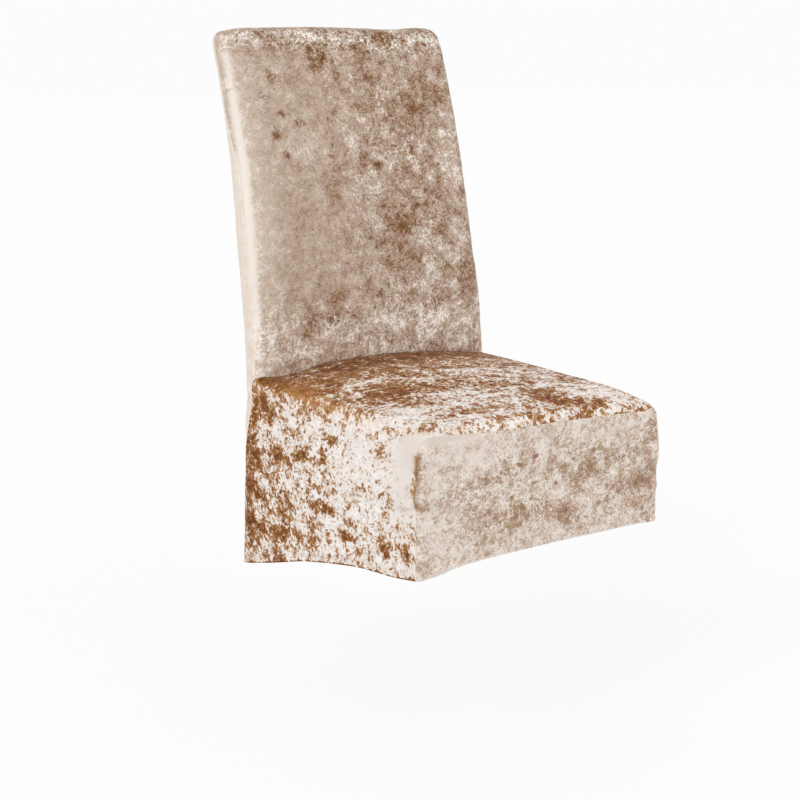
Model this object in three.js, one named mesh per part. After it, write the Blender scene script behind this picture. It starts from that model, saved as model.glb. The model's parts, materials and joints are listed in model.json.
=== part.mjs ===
import * as THREE from "three";

// A fitted stretch-velvet slipcover for a high-backed dining chair, as it sits on the chair. The chair
// itself is not here: the cover is a hollow shell of four sewn panels, each a closed sheet of cloth.
// The panels meet at the seams of one smooth outer skin, which this file describes first.
//
// Millimetres, +Z up. The skin is written from the floor under the chair (z = 0), from the front face of
// the skirt (y = 0) and from the middle of the seat (x = 0). "Left" is the side at negative x.

// ---------------------------------------------------------------- driving dimensions
const CLOTH = 2; // thickness of the velvet with its pile
const SEAM_GAP = 0.5; // clear space between two panels, measured along the skin
const SEAT_SEAM_LIFT = 0.7; // share of that gap on each side of the seam along the junction
const CORNER_SEAM_LIFT = 1.6; // and above it at the seat's rear corners, where the seams meet

const SEAT_EDGE_RADIUS = 25; // soft rounding from the front face up to the seat
const SKIRT_CORNER_RADIUS = 10; // upright front corners of the skirt
const FRONT_OUTLINE_RADIUS = 28; // upper corners of the front face, seen from the front
const TOP_SEAM_DEPTH = 2.5; // the front panel's seam lies this far behind the front face along the seat
const CORNER_SEAM_DEPTH = 6; // and this far behind it down both corners
const SEAM_DROP_END = 0.28; // it comes down to the seat's line over this share of the width, from the left
const FRONT_TURN_END = 25; // by this depth every front edge has finished turning

const BACK_FRONT_RADIUS = 22; // rounding from the back's front face to its sides
const BACK_TOP_RADIUS = 18; // rounding from the back's front face to its top
const REAR_RADIUS = 16; // rounding of the rear corners, from hem to top
const BACK_OUTLINE_RADIUS = 22; // upper corners of the back, seen from the front

const JUNCTION_HEIGHT = 500; // the seat meets the back about here
const BACK_FACE = 441; // the back's front face lies this far behind the skirt's
const BACK_LEAN = 0.019; // slope of that face where it leaves the seat
const BACK_CURVE = 0.000392; // how that slope grows, for each millimetre of height
const APEX_DROP = 4; // the seat's rear corners sit this much lower than its edge
const APEX_DEPTH = 12; // and this far behind the back's front face
const APEX_FADE = 75; // below the corners the side flattens out over this height
const CROWN_POWER = 1.9; // how flat the seat's crown is in the middle

const MOUNT_Y = 588; // the chair back's top edge, where the cover hangs
const MOUNT_Z = 1037;

// Across the cover: half widths to the left and right, and the rear face's distance from the skirt's front.
const SECTIONS = [
  { height: 189, left: 222, right: 222, rear: 507 },
  { height: 300, left: 221, right: 221, rear: 501 },
  { height: 400, left: 220, right: 222, rear: 494.5 },
  { height: 500, left: 219, right: 225, rear: 489 },
  { height: 600, left: 218.5, right: 221, rear: 496.5 },
  { height: 700, left: 218, right: 213.5, rear: 511.5 },
  { height: 800, left: 214.5, right: 212, rear: 530 },
  { height: 900, left: 211.5, right: 213, rear: 557 },
  { height: 1000, left: 209, right: 214, rear: 593 },
  { height: 1045, left: 208.5, right: 213, rear: 612.5 },
];

// Half widths of the front face of the skirt.
const FRONT_SECTIONS = [
  { height: 290, left: 215, right: 220 },
  { height: 345, left: 215, right: 218.5 },
  { height: 380, left: 215, right: 218 },
  { height: 392, left: 215.5, right: 218.5 },
  { height: 402, left: 218.5, right: 219 },
  { height: 418, left: 217, right: 219.5 },
  { height: 440, left: 215.5, right: 219 },
  { height: 470, left: 213.2, right: 215 },
  { height: 505, left: 211.5, right: 214 },
];

// The crown of the seat: heights at the start of its left and right roundings and in the middle, and the
// radius of those roundings.
const SEAT_CROWN = [
  { depth: 25, left: 503, middle: 503.5, right: 498.5, radius: 28 },
  { depth: 60, left: 505, middle: 508, right: 504, radius: 28 },
  { depth: 110, left: 505, middle: 512, right: 506, radius: 27 },
  { depth: 205, left: 504, middle: 516, right: 505.5, radius: 26 },
  { depth: 300, left: 504, middle: 518, right: 505.5, radius: 25 },
  { depth: 400, left: 503, middle: 518, right: 503, radius: 23 },
  { depth: 441, left: 503, middle: 518, right: 501.5, radius: 22 },
];

// The top edge of the back, across its width.
const TOP_EDGE = [
  { across: -210, height: 1026.5 },
  { across: -175, height: 1034.5 },
  { across: -120, height: 1037.5 },
  { across: -40, height: 1040 },
  { across: 60, height: 1039.5 },
  { across: 120, height: 1038 },
  { across: 175, height: 1042 },
  { across: 210, height: 1039.5 },
];

// Hems, as heights above the floor: across the front, along both sides, and across the rear, where the
// place across is a share of the half width.
const FRONT_HEM = [
  { across: -218, height: 300 },
  { across: -179, height: 302 },
  { across: -142, height: 309 },
  { across: -46, height: 314 },
  { across: 40, height: 315.5 },
  { across: 142, height: 315.5 },
  { across: 220, height: 314 },
];
const SIDE_HEM = [
  { depth: 0, left: 300, right: 314 },
  { depth: 50, left: 291, right: 307 },
  { depth: 77, left: 287, right: 303 },
  { depth: 117, left: 283, right: 298 },
  { depth: 159, left: 277, right: 291 },
  { depth: 251, left: 258, right: 269 },
  { depth: 319, left: 241, right: 250 },
  { depth: 396, left: 218, right: 225 },
  { depth: 507, left: 188, right: 191 },
];
const REAR_HEM = [
  { across: -1, height: 188 },
  { across: -0.54, height: 191 },
  { across: 0, height: 193 },
  { across: 0.54, height: 192 },
  { across: 1, height: 191 },
];

// The seam up each side, as its distance in front of the rear face. From the hem it runs up the rear
// corner, crosses to the seat's rear corner, follows the back's front corner and crosses to the rear again.
const SIDE_SEAM = [
  { height: 189, fromRear: 4.4 },
  { height: 375, fromRear: 4.4 },
  { height: 397, fromRear: 8 },
  { height: 421, fromRear: 21 },
  { height: 453, fromRear: 29 },
  { height: 474, fromRear: 33 },
  { height: 499, fromRear: 36 },
  { height: 600, fromRear: 38 },
  { height: 700, fromRear: 39.5 },
  { height: 811, fromRear: 36 },
  { height: 850, fromRear: 29 },
  { height: 896, fromRear: 18 },
  { height: 1045, fromRear: 18 },
];

// Main folds: soft troughs and ridges along a line, pushed by `push` at the line and fading over `width`.
const FOLDS = [
  { name: "left corner groove", from: [-211, 3, 478], to: [-217, 3, 406], push: [1.7, 2, 0], width: 8 },
  { name: "left rail edge", from: [-217, 50, 390], to: [-215, 0, 394], push: [1.6, 0, 0], width: 9 },
  { name: "front rail edge", from: [-214, 0, 397], to: [-150, 0, 397], push: [0, 1.6, 0], width: 9 },
  { name: "right corner bulge", from: [222, 30, 450], to: [222, 15, 415], push: [2.5, -1, 0], width: 26 },
  { name: "right corner tuck", from: [221, 0, 401], to: [175, 0, 366], push: [0, 5, 0], width: 11 },
  { name: "right corner ridge", from: [214, 0, 384], to: [186, 0, 345], push: [0, -4, 0], width: 13 },
  { name: "crease from the seam", from: [-214, 548, 938], to: [-193, 530, 954], push: [0, -3, 0], width: 7 },
  { name: "dip by the junction", from: [-172, 436, 503], to: [-135, 436, 507], push: [0, 0, -5], width: 22 },
  { name: "pucker at the corner", from: [-216, 447, 500], to: [-205, 438, 503], push: [0, -2, 3], width: 9 },
  { name: "seat hollow", from: [-60, 150, 512], to: [70, 170, 512], push: [0, 0, -3], width: 70 },
  { name: "belly of the back", from: [-60, 452, 640], to: [60, 452, 660], push: [0, -3, 0], width: 110 },
  { name: "left skirt swell", from: [-218, 190, 380], to: [-218, 260, 330], push: [-3, 0, 0], width: 60 },
  { name: "left skirt hollow", from: [-220, 380, 330], to: [-219, 330, 260], push: [3, 0, 0], width: 45 },
  { name: "front skirt swell", from: [-60, 0, 350], to: [90, 0, 345], push: [0, -4, 0], width: 50 },
  { name: "rear pull, low", from: [-150, 500, 330], to: [60, 494, 410], push: [0, -3, 0], width: 40 },
  { name: "rear pull, high", from: [150, 500, 560], to: [-20, 500, 470], push: [0, -3, 0], width: 38 },
];

// ---------------------------------------------------------------- helpers
const { clamp, lerp } = THREE.MathUtils;
const ease = THREE.MathUtils.smoothstep; // from 0 to 1 between two limits

// A smooth curve through one column of a table, entered by another; it holds its end values beyond them.
function read(table, key, column, at) {
  const last = table.length - 1;
  const x = clamp(at, table[0][key], table[last][key]);
  let i = 0;
  while (i < last - 1 && table[i + 1][key] < x) i += 1;
  const slope = (n) => {
    const a = table[Math.max(n - 1, 0)];
    const b = table[Math.min(n + 1, last)];
    return (b[column] - a[column]) / (b[key] - a[key]);
  };
  const span = table[i + 1][key] - table[i][key];
  const t = (x - table[i][key]) / span;
  const [p, q] = [table[i][column], table[i + 1][column]];
  const [m, n] = [slope(i) * span, slope(i + 1) * span];
  return p + t * (m + t * (3 * (q - p) - 2 * m - n + t * (m + n - 2 * (q - p))));
}

// The front edge's rounding and its seam, from the upright corners (turn 0) to the seat (turn 1).
const frontRounding = (turn) => lerp(SKIRT_CORNER_RADIUS, SEAT_EDGE_RADIUS, ease(turn, 0, 1));
const topSeamDepth = (across) => lerp(CORNER_SEAM_DEPTH, TOP_SEAM_DEPTH, ease(across, 0, SEAM_DROP_END));
const frontSeamDepth = (turn, across) => lerp(CORNER_SEAM_DEPTH, topSeamDepth(across), ease(turn, 0, 1));

// How far a rounded corner has drawn in at a given distance before the face that it turns into.
function drawnIn(radius, before) {
  const reach = radius - clamp(before, 0, radius);
  return radius - Math.sqrt(radius * radius - reach * reach);
}

// ---------------------------------------------------------------- the outer skin
const sideName = (side) => (side < 0 ? "left" : "right");

function backFront(z) {
  const rise = Math.max(z - JUNCTION_HEIGHT, 0);
  return BACK_FACE + BACK_LEAN * rise + BACK_CURVE * rise * rise;
}

const rearFace = (z) => read(SECTIONS, "height", "rear", z);
const seamY = (z) => rearFace(z) - read(SIDE_SEAM, "height", "fromRear", z);

// Half width of the cover at a depth and height. It blends from the skirt's front to the rear sections.
function halfWidth(side, y, z) {
  const front = read(FRONT_SECTIONS, "height", sideName(side), z);
  const rear = read(SECTIONS, "height", sideName(side), z);
  return lerp(front, rear, ease(y, 0, BACK_FACE - 20));
}

// A place between the left and right roundings of a panel, from 0 at the left to 1 at the right.
const flatPart = (across, y, z, radius) =>
  lerp(radius - halfWidth(-1, y, z), halfWidth(1, y, z) - radius, across);

// Height of the seat at the start of a side rounding, and anywhere between the two roundings.
const seatEdge = (side, y) => read(SEAT_CROWN, "depth", sideName(side), y);
const seatRadius = (y) => read(SEAT_CROWN, "depth", "radius", y);

function seatTop(across, y) {
  const edge = lerp(seatEdge(-1, y), seatEdge(1, y), (across + 1) / 2);
  const crown = read(SEAT_CROWN, "depth", "middle", y) - lerp(seatEdge(-1, y), seatEdge(1, y), 0.5);
  return edge + crown * (1 - Math.abs(across) ** CROWN_POWER);
}

// The cover's side, drawn in at the rear corner and at the back's front corner. The latter rounding runs
// on below the seat's rear corner and dies out, and in front of it.
function sideX(side, y, z) {
  const behindBackFace = y - backFront(z);
  const above = ease(z, apexHeight(side) - APEX_FADE, apexHeight(side));
  const behind = ease(behindBackFace, -60, APEX_DEPTH - 1);
  const cornerDraw = drawnIn(BACK_FRONT_RADIUS, Math.max(behindBackFace, APEX_DEPTH - 1)) * above * behind;
  return side * (halfWidth(side, y, z) - drawnIn(REAR_RADIUS, rearFace(z) - y) - cornerDraw);
}

const apexHeight = (side) => seatEdge(side, BACK_FACE) - APEX_DROP;
const sideHem = (side, y) => read(SIDE_HEM, "depth", sideName(side), y);
const rearHem = (across) => read(REAR_HEM, "across", "height", across);
const topEdge = (x) => read(TOP_EDGE, "across", "height", x);

// The main folds, added to a point of the skin.
function folded(point) {
  const moved = point.clone();
  for (const { from, to, push, width } of FOLDS) {
    const line = new THREE.Line3(new THREE.Vector3(...from), new THREE.Vector3(...to));
    const near = line.closestPointToPoint(point, true, new THREE.Vector3());
    const fade = Math.exp(-((point.distanceTo(near) / width) ** 2) * 2);
    moved.addScaledVector(new THREE.Vector3(...push), fade);
  }
  return moved;
}

// ---------------------------------------------------------------- panels on the skin
// Every panel is a grid of named positions. A column or row is a number: between 0 and 1 it lies on the
// panel's flat part, and past either end it lies on the wrap round a corner, which is complete at -1 or 2.

// Where a wrap is, given how far past the flat part the column and the row are: how complete it is, and
// the direction in which it leaves the flat part, from 0 (sideways) to 1 (up).
function wrapOf(column, row) {
  const sideways = Math.max(-column, column - 1, 0);
  const upward = Math.max(row - 1, 0);
  const complete = Math.max(sideways, upward);
  if (complete === 0) return { complete, turn: 0 };
  const turn = sideways > upward ? upward / sideways / 2 : 1 - sideways / upward / 2;
  return { complete, turn };
}

// A wrap's section: flat out to the rounding, round it, then straight back. It returns how far it has gone
// outward from the flat part and how far back, for a total length of `end`.
function alongWrap(length, outline, radius) {
  const bend = clamp((length - outline + radius) / radius, 0, Math.PI / 2);
  const flat = Math.min(length, outline - radius);
  const straight = Math.max(length - outline + radius - (radius * Math.PI) / 2, 0);
  return { out: flat + radius * Math.sin(bend), back: radius * (1 - Math.cos(bend)) + straight };
}

// The length of a wrap that ends at a given depth.
function wrapLength(depth, outline, radius) {
  if (depth > radius) return outline - radius + (radius * Math.PI) / 2 + depth - radius;
  return outline - radius + radius * Math.acos(1 - depth / radius);
}

// Inside back: the back's front face, wrapped over its top and round its sides to the seam.
function insideBack(column, row) {
  const side = column < 0.5 ? -1 : 1;
  const { complete, turn } = wrapOf(column, row);
  const across = clamp(column, 0, 1);
  const up = clamp(row, row < 0 ? row : 0, 1);
  const flatX = (z) => flatPart(across, BACK_FACE, z, BACK_OUTLINE_RADIUS);
  const round = column < 0 || column > 1 ? Math.min(complete, 1) : 0; // how far round the side
  const clearance = SEAM_GAP * lerp(SEAT_SEAM_LIFT, CORNER_SEAM_LIFT, round);
  const bottom = seatTop(across * 2 - 1, BACK_FACE) - APEX_DROP * round + clearance;
  const top = topEdge(flatX(1030)) - BACK_OUTLINE_RADIUS;
  const z = lerp(bottom, top, up);
  const radius = lerp(BACK_FRONT_RADIUS, BACK_TOP_RADIUS, turn);
  const seamDepth = (height) => seamY(height) - backFront(height);
  const depth = lerp(seamDepth(z), seamDepth(top + BACK_OUTLINE_RADIUS), turn);
  const length = (wrapLength(depth, BACK_OUTLINE_RADIUS, radius) - SEAM_GAP / 2) * complete;
  const { out, back } = alongWrap(length, BACK_OUTLINE_RADIUS, radius);
  const angle = (turn * Math.PI) / 2;
  const x = flatX(z) + side * out * Math.cos(angle);
  const height = z + out * Math.sin(angle);
  return new THREE.Vector3(x, backFront(height) + back, height);
}

// Outside back: the whole rear from hem to top. Seen from behind its columns also run left to right.
// Rows from -1 to 0 lie below the seat, and from 0 to 1 beside the back.
function outsideBack(column, row) {
  const side = column < 0.5 ? 1 : -1;
  const { complete, turn } = wrapOf(column, row);
  const across = clamp(1 - column, 0, 1);
  const flatX = (z) => flatPart(across, BACK_FACE, z, BACK_OUTLINE_RADIUS);
  const middle = lerp(apexHeight(-1), apexHeight(1), across);
  const top = topEdge(flatX(1030)) - BACK_OUTLINE_RADIUS;
  const hem = rearHem(lerp(-1, 1, across));
  const z = row < 0 ? lerp(middle, hem, -row) : lerp(middle, top, Math.min(row, 1));
  const depth = lerp(rearFace(z) - seamY(z), rearFace(top + 20) - seamY(top + 20), turn);
  const length = (wrapLength(depth, BACK_OUTLINE_RADIUS, REAR_RADIUS) - SEAM_GAP / 2) * complete;
  const { out, back } = alongWrap(length, BACK_OUTLINE_RADIUS, REAR_RADIUS);
  const angle = (turn * Math.PI) / 2;
  const height = z + out * Math.sin(angle);
  const y = rearFace(height) - back;
  const x = back > REAR_RADIUS && turn === 0 ? sideX(side, y, z) : flatX(z) + side * out * Math.cos(angle);
  return new THREE.Vector3(x, y, height);
}

// The outline that the seat panel follows from its left hem, over the seat, to its right hem. Columns from
// 0 to 1 lie on the seat, the first and last wraps are the roundings, and the sides follow them.
function seatOutline(column, y, drop) {
  const side = column < 0.5 ? -1 : 1;
  const radius = seatRadius(y);
  const past = Math.max(-column, column - 1, 0);
  const across = clamp(column, 0, 1);
  const edge = seatEdge(side, y);
  const inner = halfWidth(side, y, edge - radius) - radius;
  if (past === 0) {
    const x = flatPart(across, y, edge - radius, radius);
    return { x, z: seatTop(across * 2 - 1, y), angle: Math.PI / 2 };
  }
  const bend = (Math.min(past, 1) * Math.PI) / 2;
  const x = side * (inner + radius * Math.sin(bend));
  const z = edge - drop * radius * (1 - Math.cos(bend));
  return { x, z, angle: Math.PI / 2 - bend };
}

// Seat and side skirts in one piece. Row 0 is the front seam and row 1 the seam along the back; columns
// from -1 to -2 and from 2 to 3 run down the sides to the hems.
function seatPanel(column, row) {
  const side = column < 0.5 ? -1 : 1;
  const past = Math.max(-column, column - 1, 0);
  const down = Math.max(past - 1, 0);
  const turning = Math.min(past, 1);

  const rearSideZ = lerp(apexHeight(side), rearHem(side), down);
  const wrapEnd = wrapLength(APEX_DEPTH, BACK_FRONT_RADIUS, BACK_FRONT_RADIUS);
  const junction = alongWrap(wrapEnd * turning, BACK_FRONT_RADIUS, BACK_FRONT_RADIUS);
  const rearY = down > 0 ? seamY(rearSideZ) - SEAM_GAP / 2 : BACK_FACE + junction.back - SEAM_GAP * SEAT_SEAM_LIFT;

  // Round the front edge: the turn starts at the seam and is complete at FRONT_TURN_END.
  const frontRadius = frontRounding(1 - turning);
  const seamDepth = frontSeamDepth(1 - turning, clamp(column, 0, 1));
  const seamTurn = Math.acos(1 - seamDepth / frontRadius) + SEAM_GAP / 2 / frontRadius;
  const frontTurn = lerp(seamTurn, Math.PI / 2, clamp(row / FRONT_ROWS, 0, 1));
  const along = clamp((row - FRONT_ROWS) / (1 - FRONT_ROWS), 0, 1);
  const startY = frontRadius * (1 - Math.cos(frontTurn));
  const inset = frontRadius * (1 - Math.sin(frontTurn));
  const y = along > 0 ? lerp(frontRadius, rearY, along) : startY;

  const nearRear = ease(along, 0.55, 1);
  const drop = lerp(1, APEX_DROP / BACK_FRONT_RADIUS, nearRear);
  const outline = seatOutline(column, Math.max(y, FRONT_TURN_END), drop);
  const edge = seatEdge(side, Math.max(y, FRONT_TURN_END));
  const bendEnd = edge - drop * seatRadius(Math.max(y, FRONT_TURN_END));
  const hem = sideHem(side, y);
  let { x, z } = outline;
  if (down > 0) {
    const rearZ = lerp(apexHeight(side), sideHem(side, rearY), down);
    z = lerp(bendEnd, hem, down) + (rearSideZ - rearZ) * nearRear ** 2;
    x = sideX(side, Math.max(y, FRONT_TURN_END), z);
  } else if (turning > 0) {
    const rearX = halfWidth(side, BACK_FACE, edge) - BACK_FRONT_RADIUS + junction.out;
    x = side * lerp(Math.abs(x), rearX, nearRear ** 2);
  }
  x -= side * inset * Math.cos(outline.angle);
  z -= inset * Math.sin(outline.angle);
  return new THREE.Vector3(x, y, z);
}

// Front skirt: the front face from hem to seat edge, wrapped round to the seam on its top and both sides.
function frontSkirt(column, row) {
  const side = column < 0.5 ? -1 : 1;
  const { complete, turn } = wrapOf(column, row);
  const across = clamp(column, 0, 1);
  const flatX = (z) => flatPart(across, FRONT_TURN_END, z, FRONT_OUTLINE_RADIUS);
  const top = seatTop(across * 2 - 1, FRONT_TURN_END) - FRONT_OUTLINE_RADIUS;
  const sideways = Math.min(Math.max(-column, column - 1, 0), 1);
  const faceHem = read(FRONT_HEM, "across", "height", flatX(top));
  const hem = lerp(faceHem, sideHem(side, CORNER_SEAM_DEPTH), sideways);
  const z = lerp(hem, top, clamp(row, 0, 1));
  const radius = frontRounding(turn);
  const seamDepth = frontSeamDepth(turn, across);
  const length = (wrapLength(seamDepth, FRONT_OUTLINE_RADIUS, radius) - SEAM_GAP / 2) * complete;
  const { out, back } = alongWrap(length, FRONT_OUTLINE_RADIUS, radius);
  const angle = (turn * Math.PI) / 2;
  return new THREE.Vector3(flatX(z) + side * out * Math.cos(angle), back, z + out * Math.sin(angle));
}

// ---------------------------------------------------------------- from skin to closed sheets
const STEP = 1e-3;

// The way the skin faces: halfway between its facings just before and just after the column.
function facing(skin, column, row) {
  const here = skin(column, row);
  const upward = skin(column, row + STEP).sub(skin(column, row - STEP));
  const before = here.clone().sub(skin(column - STEP, row)).cross(upward).normalize();
  const after = skin(column + STEP, row).sub(here).cross(upward).normalize();
  return before.add(after).normalize();
}

// One panel: the skin's points are its right side, and its wrong side lies one thickness of cloth inside.
function sheet(name, colour, columns, rows, skin) {
  const outer = [];
  const inner = [];
  for (const row of rows) {
    for (const column of columns) {
      const point = folded(skin(column, row));
      outer.push(point);
      inner.push(point.clone().addScaledVector(facing(skin, column, row), -CLOTH));
    }
  }
  const wide = columns.length;
  const high = rows.length;
  const count = outer.length;
  const faces = [];
  const quad = (a, b, c, d) => faces.push(a, b, c, a, c, d);
  for (let j = 0; j < high - 1; j += 1) {
    for (let i = 0; i < wide - 1; i += 1) {
      const [a, b, c, d] = [j * wide + i, j * wide + i + 1, (j + 1) * wide + i + 1, (j + 1) * wide + i];
      quad(a, b, c, d);
      quad(count + b, count + a, count + d, count + c);
    }
  }
  const rim = [];
  for (let i = 0; i < wide - 1; i += 1) rim.push(i);
  for (let j = 0; j < high - 1; j += 1) rim.push(j * wide + wide - 1);
  for (let i = wide - 1; i > 0; i -= 1) rim.push((high - 1) * wide + i);
  for (let j = high - 1; j > 0; j -= 1) rim.push(j * wide);
  // Both panels at a seam split their rims along the same diagonals, from the lower outer corner.
  const rank = (n) => outer[n].z + outer[n].x / 3 + outer[n].y / 7;
  rim.forEach((a, n) => {
    const b = rim[(n + 1) % rim.length];
    if (rank(a) < rank(b)) quad(a, count + a, count + b, b);
    else quad(b, a, count + a, count + b);
  });
  const geometry = new THREE.BufferGeometry();
  geometry.setFromPoints([...outer, ...inner]);
  geometry.setIndex(faces);
  geometry.computeVertexNormals();
  const velvet = new THREE.MeshStandardMaterial({ color: colour, roughness: 0.75, metalness: 0 });
  const mesh = new THREE.Mesh(geometry, velvet);
  mesh.name = name;
  return mesh;
}

// Evenly spaced values, and values that crowd towards both ends, where the folds and roundings are.
const even = (from, to, steps) => Array.from({ length: steps + 1 }, (_, i) => lerp(from, to, i / steps));
const crowded = (steps) =>
  even(0, 1, steps).map((t) => lerp(t, (1 - Math.cos(Math.PI * t)) / 2, 0.6));

const WRAP_STEPS = 3;
const SIDE_STEPS = 8;
const FRONT_ROWS = 0.06; // share of the seat panel's rows that turn round the front edge
const across = crowded(14);
const wrapped = [...even(-1, 0, WRAP_STEPS).slice(0, -1), ...across, ...even(1, 2, WRAP_STEPS).slice(1)];
const upBack = even(0, 1, 15);
const topWrap = even(1, 2, WRAP_STEPS).slice(1);
const downSide = even(-2, -1, SIDE_STEPS).slice(0, -1);
const roundings = 2 * WRAP_STEPS;
const seatColumns = [
  ...downSide,
  ...even(-1, 0, roundings).slice(0, -1),
  ...across,
  ...even(1, 2, roundings).slice(1),
  ...downSide.map((value) => 1 - value).reverse(),
];
const seatRows = [
  ...even(0, FRONT_ROWS, 2).slice(0, -1),
  ...crowded(12).map((t) => lerp(FRONT_ROWS, 1, t)),
];
const inside = [...upBack, ...topWrap];
const outside = [...even(-1, 0, SIDE_STEPS).slice(0, -1), ...inside];
const front = [...even(0, 1, SIDE_STEPS), ...topWrap];

const cover = new THREE.Group();
cover.add(
  sheet("inside_back", 0xb8a392, wrapped, inside, insideBack),
  sheet("outside_back", 0xc3ae9c, wrapped, outside, outsideBack),
  sheet("seat", 0xb08d6c, seatColumns, seatRows, seatPanel),
  sheet("front_skirt", 0xd6c2b4, wrapped, front, frontSkirt),
);
cover.position.set(0, -MOUNT_Y, -MOUNT_Z);

const part = new THREE.Group();
part.add(cover);

export default part;
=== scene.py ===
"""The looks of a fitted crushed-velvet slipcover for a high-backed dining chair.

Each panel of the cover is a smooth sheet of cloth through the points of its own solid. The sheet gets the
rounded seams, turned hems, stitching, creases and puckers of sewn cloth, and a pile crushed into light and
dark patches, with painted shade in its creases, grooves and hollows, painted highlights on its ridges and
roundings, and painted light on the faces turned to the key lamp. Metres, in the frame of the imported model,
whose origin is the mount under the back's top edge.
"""
import json
import math
from collections import namedtuple

import bpy
import numpy as np
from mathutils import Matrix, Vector, noise


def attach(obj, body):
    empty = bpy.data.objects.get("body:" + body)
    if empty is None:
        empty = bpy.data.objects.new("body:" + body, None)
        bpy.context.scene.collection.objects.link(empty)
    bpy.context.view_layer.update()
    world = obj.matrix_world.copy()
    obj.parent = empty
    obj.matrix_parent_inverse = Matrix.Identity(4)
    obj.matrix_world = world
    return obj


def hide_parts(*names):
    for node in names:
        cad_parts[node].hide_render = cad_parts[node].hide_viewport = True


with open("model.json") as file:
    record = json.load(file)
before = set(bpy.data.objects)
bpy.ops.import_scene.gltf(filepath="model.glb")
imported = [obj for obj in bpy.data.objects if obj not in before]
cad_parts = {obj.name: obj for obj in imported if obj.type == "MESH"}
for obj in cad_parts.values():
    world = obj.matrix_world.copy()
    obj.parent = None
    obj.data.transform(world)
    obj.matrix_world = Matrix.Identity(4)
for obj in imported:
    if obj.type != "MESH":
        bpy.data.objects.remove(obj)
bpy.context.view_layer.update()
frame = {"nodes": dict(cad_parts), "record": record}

# ---------------------------------------------------------------- sizes
SOLID_CLOTH = 0.002  # thickness of the panels' solids
CLOTH = 0.0012  # thickness of the velvet drawn here
# Rounding where a panel turns into its seam, the ridge of the allowance inside it, and how puckered it is.
SEAMS = {"seam": (0.0016, 0.0005, 1.0), "close seam": (0.0003, 0.0001, 0.3)}
SEAM_CLOSE = 0.00012  # how far each panel leans across the solids' gap to meet its neighbour
ALLOWANCE = 0.008  # cloth turned in at a seam
ALLOWANCE_LINES = (0.0006, 0.003, ALLOWANCE)  # depths of its lines of points
CLIPPING = 0.02  # near a corner the allowance is clipped over this distance,
CLIPPED = 0.15  # down to this share of its depth
CORNER_SPLAY = 0.06  # how far, as a share of its depth, one allowance leans off the one that it lies across
HEM_RADIUS = 0.0014
HEM_WIDTH = 0.016  # cloth turned up inside at a hem
HEM_STITCHES = (0.0068, 0.0104)  # two rows of stitches, above the hem's edge
STITCH_LENGTH = 0.0026
STITCH_PITCH = 0.0034
STITCH_RADIUS = 0.00028
STITCH_END = 0.004  # clear of stitches at each end of a row

# Distances of a sheet's first lines from its edges: close together at a seam, and at a hem's stitches.
AT_SEAM = np.array([0, 0.35, 0.8, 1.4, 2.2, 3.3, 4.8, 7, 9.5]) / 1000
AT_HEM_EDGE = [0, 0.8, 1.8, 3.2, 4.8]
AT_HEM_STITCHES = [5.9, 6.4, 6.8, 7.2, 7.8, 8.7, 9.5, 10, 10.4, 10.8, 11.4]
AT_HEM = np.array([*AT_HEM_EDGE, *AT_HEM_STITCHES, 12.8, 15]) / 1000


# ---------------------------------------------------------------- the solids' own points
def solid_grid(node, forward):
    """The right side of a panel's solid, as rows and columns of points. Its rows go `forward`."""
    mesh = frame["nodes"][node].data
    mesh.calc_loop_triangles()
    corners = np.array([v.co for v in mesh.vertices])
    _, first, index = np.unique(np.round(corners * 1e5), axis=0, return_index=True, return_inverse=True)
    points = corners[first]
    faces = index.ravel()[np.array([t.vertices for t in mesh.loop_triangles])]
    sides = np.linalg.norm(points[faces] - points[np.roll(faces, -1, axis=1)], axis=2)
    skins = faces[(abs(sides - SOLID_CLOTH) > 1e-5).all(axis=1)]  # each face of the rim has one such side
    across = {}
    for a, b, c in skins.tolist():
        across[a, b], across[b, c], across[c, a] = c, a, b
    uses = np.bincount(skins.ravel())
    grids = [unfolded(skins, across, start) for start in np.flatnonzero(uses == 1)]
    size = max(len(g) for g in grids)
    best, best_area = None, 0
    for place in (g for g in grids if len(g) == size):
        where = np.array(list(place.values()))
        where -= where.min(axis=0)
        grid = np.zeros((*(where.max(axis=0) + 1)[::-1], 3))
        grid[where[:, 1], where[:, 0]] = points[list(place)]
        u, v = grid[:-1, 1:] - grid[:-1, :-1], grid[1:, :-1] - grid[:-1, :-1]
        area = np.linalg.norm(np.cross(u, v), axis=2).sum()
        if area > best_area:
            best, best_area = grid, area
    if (best[-1].mean(axis=0) - best[0].mean(axis=0)) @ np.array(forward) < 0:
        best = best[::-1, ::-1]
    return best


def unfolded(faces, across, start):
    """Whole-number places of the points of a regular net of triangles, walked from one of its corners."""
    a, b, c = next(f for f in faces.tolist() if start in f)
    while b != start:
        a, b, c = b, c, a
    place = {a: (-1, 0), b: (0, 0), c: (0, 1)}
    ahead, walked = [(a, b, c)], set()
    while ahead:
        a, b, c = ahead.pop()
        for p, q, r in ((a, b, c), (b, c, a), (c, a, b)):
            walked.add((p, q))
            s = across.get((q, p))
            if s is not None and (q, p) not in walked:
                place[s] = tuple(place[p][k] + place[q][k] - place[r][k] for k in (0, 1))
                ahead.append((q, p, s))
    return place


# ---------------------------------------------------------------- smooth sheets
def spline(points, stations):
    """Smooth curves through rows of points, read at stations, which count points and parts between them."""
    step = np.diff(points, axis=1)
    length = np.linalg.norm(step, axis=2, keepdims=True)
    slope = step / length
    before, after = length[:, :-1], length[:, 1:]
    inner = (slope[:, :-1] * after + slope[:, 1:] * before) / (after + before)
    tangent = np.concatenate([slope[:, :1], inner, slope[:, -1:]], axis=1)
    i = np.minimum(stations.astype(int), points.shape[1] - 2)
    t = (stations - i)[None, :, None]
    p, q = points[:, i], points[:, i + 1]
    m, n = tangent[:, i] * length[:, i], tangent[:, i + 1] * length[:, i]
    return p + t * (m + t * (3 * (q - p) - 2 * m - n + t * (m + n - 2 * (q - p))))


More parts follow.
